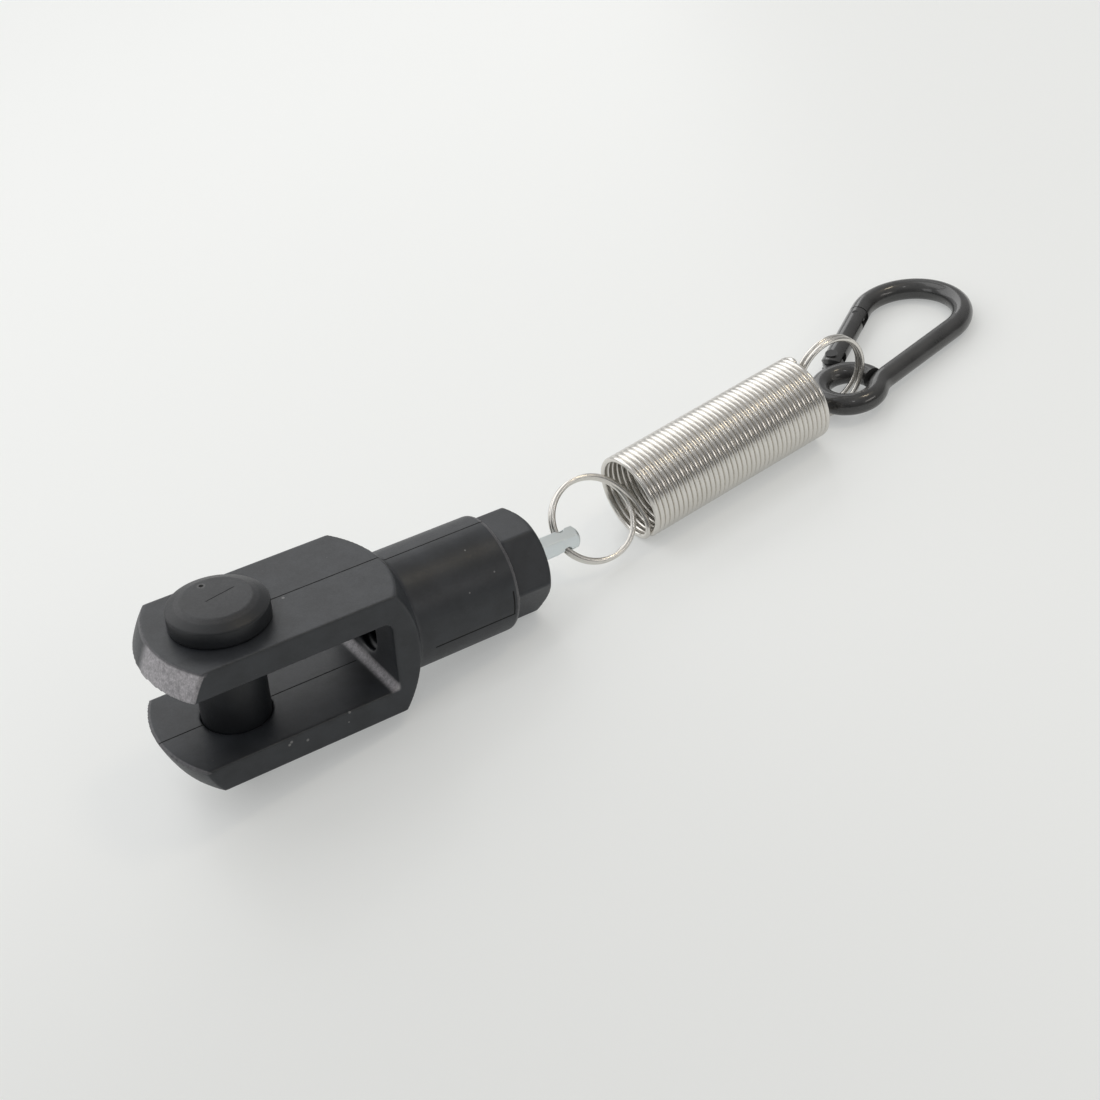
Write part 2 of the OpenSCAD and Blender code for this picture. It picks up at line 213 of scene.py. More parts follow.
def closed_mesh(bm, name, way):
    """Merges a bmesh's doubles, turns its faces outward and puts it in its place."""
    bmesh.ops.remove_doubles(bm, verts=bm.verts, dist=1e-4)
    bmesh.ops.recalc_face_normals(bm, faces=bm.faces)
    mesh = mesh_of(bm, name)
    mesh.transform(way)
    return mesh


def softened(name, cad_name, way, voxel, cutter=None):
    """A copy of a CAD node whose edges are rounded over, as its making leaves them."""
    bm = bmesh.new()
    bm.from_mesh(frame["nodes"][cad_name].data)
    bm.transform(way.inverted())
    bmesh.ops.remove_doubles(bm, verts=bm.verts, dist=1e-3)
    holder = link(name + "_raw", mesh_of(bm, name))
    if cutter:
        cut = holder.modifiers.new("cut", "BOOLEAN")
        cut.operation = "DIFFERENCE"
        cut.solver = "EXACT"
        cut.object = cutter
    remesh = holder.modifiers.new("remesh", "REMESH")
    remesh.mode = "VOXEL"
    remesh.voxel_size = voxel
    smooth = holder.modifiers.new("smooth", "SMOOTH")
    smooth.factor = 0.5
    smooth.iterations = SOFTENING_ROUNDS
    return finished_mesh(holder, name, way)


def swept_wire(name, points, radius, way, sides):
    """A round wire with flat ends. It has one ring of vertices for each point."""
    curve = bpy.data.curves.new(name, "CURVE")
    curve.dimensions = "3D"
    curve.twist_mode = "MINIMUM"
    curve.bevel_depth = radius
    curve.bevel_resolution = sides // 2 - 2
    curve.use_fill_caps = True
    line = curve.splines.new("POLY")
    line.points.add(len(points) - 1)
    for spot, point in zip(line.points, points):
        spot.co = (*point, 1)
    return finished_mesh(link(name + "_line", curve), name, way)


def bend(start, start_way, end, end_way, count):
    """Points of one smooth bend, without its first one."""
    return interpolate_bezier(start, start + start_way, end - end_way, end, count + 1)[1:]


def rounded_profile(corners, radius):
    """The corners of a turned profile, each inner one rounded by a small arc."""
    points = [corners[0]]
    for before, corner, after in zip(corners, corners[1:], corners[2:]):
        room = min(radius, (before - corner).length / 2.2, (after - corner).length / 2.2)
        start = corner + (before - corner).normalized() * room
        end = corner + (after - corner).normalized() * room
        points.append(start)
        points += bend(start, (corner - start) * 0.55, end, (end - corner) * 0.55, 4)
    points.append(corners[-1])
    return points


def turned(name, points, way, steps=96):
    """A turned body: the profile's points (radius, 0, height) spun about Z."""
    bm = bmesh.new()
    verts = [bm.verts.new(point) for point in points]
    edges = [bm.edges.new(pair) for pair in zip(verts, verts[1:])]
    bmesh.ops.spin(bm, geom=verts + edges, cent=(0, 0, 0), axis=Z, angle=math.tau,
        steps=steps, use_merge=True)
    return closed_mesh(bm, name, way)


def plate(name, outline, thickness, way, edge=0.12):
    """A flat piece with softly broken edges, its thickness centred on Z = 0."""
    bm = bmesh.new()
    verts = [bm.verts.new((point.x, point.y, -thickness / 2)) for point in outline]
    face = bm.faces.new(verts)
    raised = bmesh.ops.extrude_face_region(bm, geom=[face])["geom"]
    top = [item for item in raised if isinstance(item, bmesh.types.BMVert)]
    bmesh.ops.translate(bm, verts=top, vec=(0, 0, thickness))
    bmesh.ops.recalc_face_normals(bm, faces=bm.faces)
    rims = [rim for rim in bm.edges if rim.calc_face_angle(0) > math.radians(60)]
    bmesh.ops.bevel(bm, geom=rims, offset=edge, offset_type="OFFSET", segments=2,
        profile=0.5, affect="EDGES", material=-1)
    return closed_mesh(bm, name, way)


# ---------------------------------------------------------------- nodes

def node(tree, kind, settings=None, **inputs):
    """Adds a node; an input is a value, or the socket that feeds it.

    An input's name has _ for each space, and _0, _1 and so on are inputs by number.
    """
    new = tree.nodes.new("ShaderNode" + kind)
    for word, value in (settings or {}).items():
        setattr(new, word, value)
    for word, value in inputs.items():
        socket = new.inputs[int(word[1:]) if word[0] == "_" else word.replace("_", " ")]
        if isinstance(value, bpy.types.NodeSocket):
            tree.links.new(value, socket)
        else:
            socket.default_value = value
    return new


def use(tree, group, **inputs):
    """Places a node group, and gives its outputs."""
    return node(tree, "Group", {"node_tree": group}, **inputs).outputs


def math_node(tree, operation, *values):
    """One sum on values or sockets, carried on from left to right if there are more."""
    result = values[0]
    for value in values[1:]:
        result = node(tree, "Math", {"operation": operation}, _0=result, _1=value).outputs[0]
    return result


def product(tree, *factors):
    return math_node(tree, "MULTIPLY", *factors)


def total(tree, *parts):
    return math_node(tree, "ADD", *parts)


def either(tree, *masks):
    return math_node(tree, "MAXIMUM", *masks)


def remap(tree, value, low, high, to_low=0.0, to_high=1.0, kind="SMOOTHSTEP"):
    return node(tree, "MapRange", {"interpolation_type": kind}, Value=value, From_Min=low,
        From_Max=high, To_Min=to_low, To_Max=to_high).outputs["Result"]


def above(tree, value, limits):
    """A mask that is 0 up to the first limit and 1 from the second."""
    return remap(tree, value, *limits)


def below(tree, value, limits):
    """A mask that is 1 up to the first limit and 0 from the second."""
    return remap(tree, value, *limits, 1.0, 0.0)


def within(tree, value, limits, soft=0.2):
    """A mask that is 1 between two limits, with soft sides beyond them."""
    low, high = limits
    return product(tree, above(tree, value, (low - soft, low)),
        below(tree, value, (high, high + soft)))


def noise(tree, place, scale, detail=3.0, roughness=0.55):
    return node(tree, "TexNoise", Vector=place, Scale=scale, Detail=detail,
        Roughness=roughness).outputs["Fac"]


def stretched(tree, place, factors):
    """Places drawn out or pressed together along each axis."""
    return node(tree, "VectorMath", {"operation": "MULTIPLY"}, _0=place,
        _1=factors).outputs[0]


def distance_to(tree, place, spot):
    return node(tree, "VectorMath", {"operation": "DISTANCE"}, _0=place,
        _1=spot).outputs["Value"]


def mix_colour(tree, mask, first, second):
    """Goes from the first colour to the second; each is a colour or a socket."""
    return node(tree, "Mix", {"data_type": "RGBA"}, _0=mask, _6=first, _7=second).outputs[2]


def shade(level, tint=(1, 1, 1)):
    return (level * tint[0], level * tint[1], level * tint[2], 1)


# ---------------------------------------------------------------- node groups

def new_tree(name, inputs, outputs):
    """An empty node group with named sockets, and its two end nodes."""
    tree = bpy.data.node_groups.new(name, "ShaderNodeTree")
    kinds = {"place": "NodeSocketVector"}
    for word in inputs:
        tree.interface.new_socket(word, in_out="INPUT",
            socket_type=kinds.get(word, "NodeSocketFloat"))
    for word in outputs:
        tree.interface.new_socket(word, in_out="OUTPUT", socket_type="NodeSocketFloat")
    return tree, tree.nodes.new("NodeGroupInput"), tree.nodes.new("NodeGroupOutput")


def make_grain():
    """Fine pits and slow cloudiness of a surface. Places are in millimetres."""
    tree, given, out = new_tree("grain", ["place", "scale"], ["fine", "clouds"])
    place = given.outputs["place"]
    fine = noise(tree, place, given.outputs["scale"], 4.0, 0.6)
    clouds = noise(tree, place, 0.16, 4.0, 0.6)
    tree.links.new(fine, out.inputs["fine"])
    tree.links.new(above(tree, clouds, (0.3, 0.7)), out.inputs["clouds"])
    return tree


def make_thin_line():
    """A mask that is 1 where a distance is within a half width, with soft sides."""
    tree, given, out = new_tree("thin_line", ["distance", "half width"], ["mask"])
    far = math_node(tree, "ABSOLUTE", given.outputs["distance"], 0.0)
    share = math_node(tree, "DIVIDE", far, given.outputs["half width"])
    tree.links.new(below(tree, share, (0.6, 1.4)), out.inputs["mask"])
    return tree


def make_flecks():
    """Sparse small specks, such as dust. Amount is the share of cells that hold one."""
    tree, given, out = new_tree("flecks", ["place", "scale", "amount"], ["mask"])
    cells = node(tree, "TexVoronoi", {"feature": "F1"}, Vector=given.outputs["place"],
        Scale=given.outputs["scale"])
    near = below(tree, cells.outputs["Distance"], (0.03, 0.075))
    lot = node(tree, "SeparateColor", Color=cells.outputs["Color"]).outputs[0]
    chosen = math_node(tree, "LESS_THAN", lot, given.outputs["amount"])
    tree.links.new(product(tree, near, chosen), out.inputs["mask"])
    return tree


GRAIN = make_grain()
THIN_LINE = make_thin_line()
FLECKS = make_flecks()


def line_mask(tree, distance, half_width):
    return use(tree, THIN_LINE, distance=distance, half_width=half_width)["mask"]


def fleck_mask(tree, place, scale, amount):
    return use(tree, FLECKS, place=place, scale=scale, amount=amount)["mask"]


# ---------------------------------------------------------------- materials

COOL = (0.9, 1.0, 1.16)     # the plastic's faint blue
DARKER = 0.8                # how far clouds take a black finish down
LIGHTER = 1.25              # and up
# the lighter skin used for rubbed wear and for painted sheen and painted highlights
WORN_AND_SHEEN_SKIN = shade(0.75, (1.0, 0.96, 1.0))
GATE_RING = shade(0.12)
GROOVE = shade(0.003)
DUST = shade(0.35)
DUST_AT = ((3.7, -12, -8.4), (4.1, -12, -8.0), (7, -12, -9), (15.2, -12, -7.1),
    (11.1, -0.8, 12), (56.1, -8.9, 3.3))
DUST_EDGE = (0.16, 0.34)    # from a grain's middle to its rim
GATE_PIT_EDGE = (0.3, 0.45)
GATE_RING_R = 0.55
GATE_RING_HALF = 0.16

# Marks on the fork, as limits along its own axes
MIDDLE_LINE_HALF = 0.12
PARTING_STOP_X = (22.8, 23.4)
PARTING_STOP_Z = (3, 4)
TOP_LINE_X = (8, 51)
TOP_LINE_FROM_Z = (8, 9)
INSERT_X = (33.5, 49.7)
INSERT_Z = (-2.6, 2.2)
INSERT_LOW = -2.6
INSERT_LOW_HALF = 0.16
INSERT_END = 49.6
INSERT_END_HALF = 0.14
INSERT_SIDE_Y = (-9.0, -8.0)
FORK_GATE_AT = (-13.4, 2.4, 10.7)
# the nose: rubbed wear with a painted sheen
NOSE_DOME_AT = (8.8, 0, 0)
NOSE_SKIN_R = (23.8, 24.0)
NOSE_X = (-16.0, -4.0)
NOSE_Y = (-11.0, 0.0)
NOSE_Z = (7.4, 11.4)
# painted highlights along the nose dome's rims
DOME_EDGE_R = (23.5, 23.8)
DOME_EDGE_UPPER_Z = (11.4, 11.8)
DOME_EDGE_SLOT_Z = (-7.25, -6.95)
DOME_EDGE_STOP_X = (-6, -2)
# a painted sheen on the slot's rear fillet
SLOT_FILLET_X = (23.9, 24.7)
SLOT_FILLET_Z = (-6.6, -5.9)
# a painted highlight on the neck's rim, and how strong the rims' painted highlights are
NECK_RIM_X = (50.3, 50.9)
RIM_HIGHLIGHT = 0.2

# Marks on the pin's head
PIN_LINE_SLOPE = 0.197
PIN_LINE_SHIFT = 0.31
PIN_LINE_HALF = 0.1
PIN_LINE_X = (-1.6, 3.5)
PIN_LINE_Z = (PIN_HEAD_FOOT, 20)
PIN_LINE_DEPTH = 0.8
PIN_GATE_AT = (-0.53, 4.58, 16.4)
# a faint lightening on the rim of the head's flat
PIN_RIM_Z = (16.05, 16.25)
PIN_RIM_LIGHTENING = 0.04

FLOOR_SHADE_REACH = 0.009   # how far the painted contact shadow by the pieces reaches, in metres
# painted shade: the floor's glow dims towards this spot at the left front corner
FLOOR_DIM_AT = (-0.06, -0.12, -0.02)
FLOOR_DIM_R = (0.03, 0.2)


def start_material(name, **shader_values):
    """A new material, with constants set on the shader's own sockets."""
    material = bpy.data.materials.new(name)
    material.use_nodes = True
    shader = material.node_tree.nodes["Principled BSDF"]
    for word, value in shader_values.items():
        shader.inputs[word.replace("_", " ")].default_value = value
    return material, material.node_tree, shader


def place_on(tree, way):
    """Object coordinates turned into a piece's own frame, in millimetres."""
    back = way.inverted()
    return node(tree, "Mapping", {"vector_type": "POINT"},
        Vector=node(tree, "TexCoord").outputs["Object"], Location=back.to_translation(),
        Rotation=back.to_euler(), Scale=(1 / MM,) * 3).outputs[0]


def feed(tree, shader, colour, roughness, height, depth, strength):
    """Links what changes over the surface. Depth is the bump's height in millimetres."""
    tree.links.new(colour, shader.inputs["Base Color"])
    tree.links.new(roughness, shader.inputs["Roughness"])
    bump = node(tree, "Bump", Height=height, Distance=depth * MM, Strength=strength)
    tree.links.new(bump.outputs[0], shader.inputs["Normal"])


def dust_on(tree, place):
    """Scattered specks of two sizes, and the few grains at places of their own."""
    coarse = fleck_mask(tree, place, 0.34, 0.13)
    fine = fleck_mask(tree, place, 0.75, 0.05)
    grains = [below(tree, distance_to(tree, place, spot), DUST_EDGE) for spot in DUST_AT]
    return either(tree, coarse, product(tree, fine, 0.6), *grains)


def lighten_wear_and_sheen(tree, place, wear_and_sheen, coarse):
    """How far a place is lightened by rubbed wear, painted sheen and painted highlights, broken
    up by fine scratches.
    """
    scratches = noise(tree, stretched(tree, place, (1.2, 1.2, 0.8)), 3.0, 6.0, 0.7)
    return product(tree, wear_and_sheen, remap(tree, scratches, 0.3, 0.75, 0.5, 0.9),
        remap(tree, coarse, 0.3, 0.65, 0.6, 1.0))


def plastic_skin(tree, shader, place, level, lines, from_gate, wear_and_sheen):
    """Dark moulded plastic: grain, mould lines, a round gate mark, places lightened by rubbed
    wear, painted sheen and painted highlights, dust.

    Lines and wear_and_sheen are masks, and from_gate is the distance from the gate mark's
    middle.
    """
    grain = use(tree, GRAIN, place=place, scale=3.2)
    coarse = noise(tree, place, 1.3, 5.0, 0.7)
    sunk = either(tree, lines, below(tree, from_gate, GATE_PIT_EDGE))
    ring = line_mask(tree, total(tree, from_gate, -GATE_RING_R), GATE_RING_HALF)

    base = mix_colour(tree, grain["clouds"], shade(level * DARKER, COOL),
        shade(level * LIGHTER, COOL))
    # lightened by rubbed wear, painted sheen and painted highlights
    worn_and_sheened = mix_colour(tree, lighten_wear_and_sheen(tree, place, wear_and_sheen, coarse), base, WORN_AND_SHEEN_SKIN)
    ringed = mix_colour(tree, product(tree, ring, 0.5), worn_and_sheened, GATE_RING)
    lined = mix_colour(tree, sunk, ringed, GROOVE)
    dusty = mix_colour(tree, product(tree, dust_on(tree, place), 0.55), lined, DUST)

    roughness = total(tree, remap(tree, grain["fine"], 0.3, 0.7, 0.38, 0.48),
        product(tree, sunk, 0.5))
    height = total(tree, grain["fine"], product(tree, sunk, -3.0),
        product(tree, wear_and_sheen, coarse, 1.5))
    feed(tree, shader, dusty, roughness, height, depth=0.02, strength=0.5)


def fork_lines(tree, x, y, z):
    """The parting line on the middle of the fork, and the edge of a neck insert."""
    middle = line_mask(tree, y, MIDDLE_LINE_HALF)
    parting = product(tree, middle, below(tree, x, PARTING_STOP_X),
        below(tree, z, PARTING_STOP_Z))
    over = product(tree, middle, within(tree, x, TOP_LINE_X),
        above(tree, z, TOP_LINE_FROM_Z))
    low = line_mask(tree, total(tree, z, -INSERT_LOW), INSERT_LOW_HALF)
    end = line_mask(tree, total(tree, x, -INSERT_END), INSERT_END_HALF)
    insert = either(tree, product(tree, low, within(tree, x, INSERT_X)),
        product(tree, end, within(tree, z, INSERT_Z)))
    return either(tree, parting, over,
        product(tree, insert, below(tree, y, INSERT_SIDE_Y)))


def fork_wear_and_sheen(tree, place, x, y, z):
    """Lighter skin: rubbed wear with a painted sheen on the nose, a painted sheen on the slot's
    rear fillet, and faint painted highlights on the rims.
    """
    from_dome = distance_to(tree, place, NOSE_DOME_AT)
    # the nose: rubbed wear with a painted sheen
    nose = product(tree, above(tree, from_dome, NOSE_SKIN_R), within(tree, x, NOSE_X, 2.0),
        within(tree, y, NOSE_Y, 3.0), within(tree, z, NOSE_Z, 0.5))
    # a painted sheen on the slot's rear fillet
    fillet = product(tree, within(tree, x, SLOT_FILLET_X, 0.7),
        within(tree, z, SLOT_FILLET_Z, 0.7))
    # painted highlights on the dome's rims and on the neck's rim
    dome_edges = either(tree, within(tree, z, DOME_EDGE_UPPER_Z),
        within(tree, z, DOME_EDGE_SLOT_Z))
    dome_rims = product(tree, above(tree, from_dome, DOME_EDGE_R), dome_edges,
        below(tree, x, DOME_EDGE_STOP_X))
    neck_rim = within(tree, x, NECK_RIM_X, 0.15)
    return either(tree, nose, fillet,
        product(tree, either(tree, neck_rim, dome_rims), RIM_HIGHLIGHT))


def fork_plastic(level):
    """The fork's moulded skin."""
    material, tree, shader = start_material("fork_plastic", Specular_IOR_Level=0.5)
    place = place_on(tree, fork_way)
    x, y, z = node(tree, "SeparateXYZ", Vector=place).outputs
    plastic_skin(tree, shader, place, level, fork_lines(tree, x, y, z),
        distance_to(tree, place, FORK_GATE_AT), fork_wear_and_sheen(tree, place, x, y, z))
    return material


def pin_plastic(level):
    """The pin's skin, with a short slanting mould line and a gate mark on its head."""
    material, tree, shader = start_material("pin_plastic", Specular_IOR_Level=0.5)
    place = place_on(tree, fork_way)
    x, y, z = node(tree, "SeparateXYZ", Vector=place).outputs
    off_line = total(tree, y, product(tree, x, -PIN_LINE_SLOPE), -PIN_LINE_SHIFT)
    line = product(tree, line_mask(tree, off_line, PIN_LINE_HALF),
        within(tree, x, PIN_LINE_X, 0.5), within(tree, z, PIN_LINE_Z), PIN_LINE_DEPTH)
    # a faint lightening on the rim of the head's flat
    rim = product(tree, within(tree, z, PIN_RIM_Z), PIN_RIM_LIGHTENING)
    plastic_skin(tree, shader, place, level, line, distance_to(tree, place, PIN_GATE_AT), rim)
    return material


def coated_steel(name, level, gloss):
    """Thick black paint on bent wire, with its slightly wavy skin."""
    material, tree, shader = start_material(name, Coat_Weight=0.7, Coat_Roughness=0.05)
    place = place_on(tree, hook_way)
    grain = use(tree, GRAIN, place=place, scale=1.1)
    flecks = product(tree, fleck_mask(tree, place, 0.3, 0.12), 0.06)
    base = mix_colour(tree, grain["clouds"], shade(level * DARKER), shade(level * LIGHTER))
    flecked = mix_colour(tree, flecks, base, shade(0.3))
    roughness = remap(tree, grain["clouds"], 0.0, 1.0, gloss, gloss + 0.1)
    feed(tree, shader, flecked, roughness, grain["fine"], depth=0.03, strength=0.2)
    return material


def bright_metal(name, way, level, tint, rough, streak=(0.25, 6, 6), wear=0.08, metal=1.0):
    """Drawn or plated metal, with faint lines along the piece."""
    material, tree, shader = start_material(name, Metallic=metal)
    place = place_on(tree, way)
    lines = noise(tree, stretched(tree, place, streak), 1.0, 3.0)
    grain = use(tree, GRAIN, place=place, scale=2.0)
    both = product(tree, lines, grain["clouds"])
    base = mix_colour(tree, both, shade(level * (1 - wear), tint), shade(level, tint))
    roughness = remap(tree, lines, 0.3, 0.7, rough * (1 - wear), rough * (1 + wear))
    feed(tree, shader, base, roughness, lines, depth=0.004, strength=0.1)
    return material


def floor_glow(tree, place):
    """The floor's own even light, with painted shade: dimmer near the left front corner, and a
    painted contact shadow by the pieces.
    """
    seen = remap(tree, node(tree, "LightPath").outputs["Is Camera Ray"], 0, 1, 0.75, 1)
    # painted shade, dimmer towards the left front corner
    painted_corner_shade = remap(tree, distance_to(tree, place, FLOOR_DIM_AT), *FLOOR_DIM_R, 0.35, 0.445)
    # painted contact shadow: the glow is dimmer where the pieces stand close
    open_sky = node(tree, "AmbientOcclusion", {"samples": 8},
        Distance=FLOOR_SHADE_REACH).outputs["AO"]
    clear = remap(tree, open_sky, 0, 1, 0.7, 1, "LINEAR")
    return node(tree, "Emission", Color=(0.985, 1.0, 0.99, 1),
        Strength=product(tree, seen, painted_corner_shade, clear)).outputs[0]


def floor_paint():
    """A smooth pale table top with a weak sheen, evened out as by light all around."""
    material, tree, shader = start_material("floor_white", Roughness=0.3,
        Specular_IOR_Level=0.25)
    place = node(tree, "TexCoord").outputs["Object"]
    clouds = noise(tree, place, 5.0, 2.0)
    base = mix_colour(tree, clouds, (0.48, 0.485, 0.475, 1), (0.50, 0.505, 0.495, 1))
    tree.links.new(base, shader.inputs["Base Color"])
    both = node(tree, "AddShader", _0=shader.outputs[0], _1=floor_glow(tree, place))
    tree.links.new(both.outputs[0], tree.nodes["Material Output"].inputs["Surface"])
    return material


# ---------------------------------------------------------------- the fork head

def thread_cutter():
    """The winding groove of the neck's inner thread, as a body to cut with."""
    bm = bmesh.new()
    start = SLOT_END - 1
    inner = THREAD_CORE_R - THREAD_LAP
    outer = THREAD_CORE_R + THREAD_DEPTH
    ring = [bm.verts.new((start + along, 0, reach)) for along, reach in (
        (-THREAD_HALF_FOOT, inner), (THREAD_HALF_FOOT, inner),
        (THREAD_HALF_CREST, outer), (-THREAD_HALF_CREST, outer))]
    edges = [bm.edges.new((ring[i], ring[i - 1])) for i in range(4)]
    turns = (BUSH_START - SLOT_END - 1) / THREAD_PITCH
    bmesh.ops.spin(bm, geom=ring + edges, cent=(0, 0, 0), axis=X, angle=math.tau * turns,
        steps=int(turns * THREAD_STEPS), dvec=X * THREAD_PITCH / THREAD_STEPS)
    bmesh.ops.holes_fill(bm, edges=bm.edges, sides=0)
    return link("thread_cutter", closed_mesh(bm, "thread_cutter", Matrix()))


def make_fork(material):
    cutter = thread_cutter()
    mesh = softened("fork_moulding", "fork_head", fork_way, FORK_VOXEL, cutter)
    bpy.data.objects.remove(cutter)
    fork = add_piece("fork_moulding", mesh, material, "fork")
    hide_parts("fork_head")


def make_pin(material):
    head_top = PIN_HEAD_FOOT + PIN_HEAD_SIDE + PIN_HEAD_BEVEL
    corners = [Vector((radius, 0, height)) for radius, height in (
        (0, PIN_TAIL), (PIN_R - PIN_CHAMFER, PIN_TAIL), (PIN_R, PIN_TAIL + PIN_CHAMFER),
        (PIN_R, GROOVE_FOOT), (GROOVE_R, GROOVE_FOOT), (GROOVE_R, GROOVE_TOP),
        (PIN_R, GROOVE_TOP), (PIN_R, PIN_HEAD_FOOT), (PIN_HEAD_R, PIN_HEAD_FOOT),
        (PIN_HEAD_R, PIN_HEAD_FOOT + PIN_HEAD_SIDE), (PIN_TOP_R, head_top), (0, head_top))]
    mesh = turned("headed_pin", rounded_profile(corners, PIN_EDGE), fork_way)
    pin = add_piece("headed_pin", mesh, material, "pin")
    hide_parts("clevis_pin")


def make_rod(material):
    mesh = softened("pull_rod", "draw_rod", fork_way, ROD_VOXEL)
    rod = add_piece("pull_rod", mesh, material, "fork")
    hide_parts("draw_rod")


# ---------------------------------------------------------------- the spring

def loop_strands(middle, up, side, first, sweep, per_turn, opened=0.0):
    """A double loop about its middle; angles are in degrees from X towards up.

    Its wire moves sideways as it goes round, and stands off further where it is opened.
    """
    count = int(abs(sweep) / 360 * TURN_STEPS)
    start_shift = -per_turn * abs(sweep) / 720
    points = []
    for i in range(count + 1):
        angle = first + sweep * i / count
        turn = math.radians(angle)
        shift = start_shift + per_turn * abs(angle - first) / 360
        shift += opened * math.exp(-((angle - OPENED_AT) / OPENED_OVER) ** 2)
        points.append(middle + X * COIL_R * math.cos(turn) + up * COIL_R * math.sin(turn)
            + side * shift)
    return points


def coil_place(x, turn):
    return Vector((x, COIL_R * math.cos(turn), COIL_R * math.sin(turn)))


def coil_heading(turn):
    return Vector((0, -math.sin(turn), math.cos(turn)))


def near_loop_line(coil_turn):
    """From the near loop's free end, round it, to the coils' first point."""
    lean = math.radians(NEAR_LEAN)
    up = Vector((0, math.sin(lean), math.cos(lean)))
    side = Vector((0, math.cos(lean), -math.sin(lean)))
    root = X * LOOP_ROOT_X - up * LOOP_ROOT_Z - side * NEAR_ROOT_SHIFT
    points = loop_strands(Vector(), up, side, NEAR_FIRST, -NEAR_SWEEP, -STRAND)
    points += bend(points[-1], (X - up) * 2.3, root, up * -2.6, 18)
    points += bend(root, up * -3.4, coil_place(COIL_START_X, coil_turn),
        coil_heading(coil_turn) * 2.6, 24)
    return points


def far_loop_line(coil_end, coil_turn):
    """From the coils' last point to the far loop, and round it to its free end."""
    middle = X * LOOP_TO_LOOP + Y * FAR_LOOP_SHIFT
    root = middle + Vector((-LOOP_ROOT_X, -STRAND * FAR_SWEEP / 720, LOOP_ROOT_Z))
    loop = loop_strands(middle, Z, Y, FAR_FIRST, FAR_SWEEP, STRAND, FAR_OPENED)
    points = bend(coil_end, coil_heading(coil_turn) * 2.6, root, Z * -3.4, 24)
    points += bend(root, Z * -2.6, loop[0], (X - Z) * 2.3, 18)
    return points + loop[1:]


def spring_line():
    """The wire's middle line, and the numbers of the coils' first and last point."""
    start = math.radians(COIL_START)
    end = math.radians(COIL_START + COIL_TURNS * 360)
    points = near_loop_line(start)
    first = len(points) - 1
    steps = int(COIL_TURNS * TURN_STEPS)
    for i in range(1, steps + 1):
        x = COIL_START_X + (COIL_END_X - COIL_START_X) * i / steps
        points.append(coil_place(x, start + (end - start) * i / steps))
    last = len(points) - 1
    points += far_loop_line(points[-1], end)
    return points, first, last


def stretch_shares(count, first, last):
    """Each point's share of the far end's travel: none, then even, then whole."""
    per_turn = (last - first) / COIL_TURNS
    start = first + END_TURNS * per_turn
    end = last - END_TURNS * per_turn
    return [min(1.0, max(0.0, (i - start) / (end - start))) for i in range(count)]


def unsmooth(share):
    """The place on a smooth step at which the step has the given share."""
    return 0.5 - math.sin(math.asin(1 - 2 * share) / 3)


def stretch_evenly(wire, shares):
    """Moves each vertex by its share of the far end's travel, then puts every vertex back where
    it was.
    """
    mesh = wire.data
    real = [vertex.co.copy() for vertex in mesh.vertices]
    span = spring_axis * UNROLLED
    for index, vertex in enumerate(mesh.vertices):
        if index < len(shares) * WIRE_SIDES:
            share = shares[index // WIRE_SIDES]
        else:               # the flat ends' own vertices come last
            share = round((spring_way.inverted() @ vertex.co).x / LOOP_TO_LOOP)
        vertex.co = span * unsmooth(share)
    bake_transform(wire)
    for vertex, place in zip(mesh.vertices, real):
        vertex.co = place
    mesh.update()


def make_spring(material):
    points, first, last = spring_line()
    mesh = swept_wire("spring_wire", points, WIRE_R, spring_way, WIRE_SIDES)
    wire = add_piece("spring_wire", mesh, material)
    stretch_evenly(wire, stretch_shares(len(points), first, last))
    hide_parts("spring_near_end", "spring_coils", "spring_far_end")


# ---------------------------------------------------------------- the snap hook

def arc(middle, radius, first, last, turn_steps=96):
    """Points of an arc in the hook's plane, from one angle to another in degrees."""
    count = max(2, int(abs(last - first) / 360 * turn_steps))
    points = []
    for i in range(count + 1):
        turn = math.radians(first + (last - first) * i / count)
        points.append(middle + Vector((math.cos(turn), math.sin(turn), 0)) * radius)
    return points


def hook_line():
    """Round the eye, by an S-bend into the straight side, and round the bow."""
    points = arc(Vector(), EYE_R, EYE_FIRST, EYE_LAST)
    turn = math.radians(EYE_LAST)
    heading = Vector((-math.sin(turn), math.cos(turn), 0))
    points += bend(points[-1], heading * 1.8, Vector((SPINE_X, SPINE_Y, 0)), X * 2.2, 16)
    points.append(Vector((BOW_X, SPINE_Y, 0)))
    points += arc(Vector((BOW_X, BOW_Y, 0)), BOW_R, -90, 90 + GATE_ANGLE)[1:]
    points.append(nose_tip)
    return points


def lug_outline():
    """The lug about the rivet, drawn out to the eye, with its flat to the plunger."""
    rivet = Vector((GATE_LEN, 0, 0))
    eye = gate_way.inverted() @ hook_way.to_translation()
    way = (eye - rivet).normalized()
    across = Z.cross(way)
    foot = rivet + way * ((eye - rivet).length - EYE_R)
    steps = 24
    outline = [foot - across * LUG_R]
    for i in range(steps + 1):
        turn = math.radians(-90 - 180 * i / steps)
        spot = rivet + (way * math.cos(turn) + across * math.sin(turn)) * LUG_R
        spot.x = max(spot.x, GATE_LEN - LUG_FLAT)
        outline.append(spot)
    outline.append(foot + across * LUG_R)
    return outline


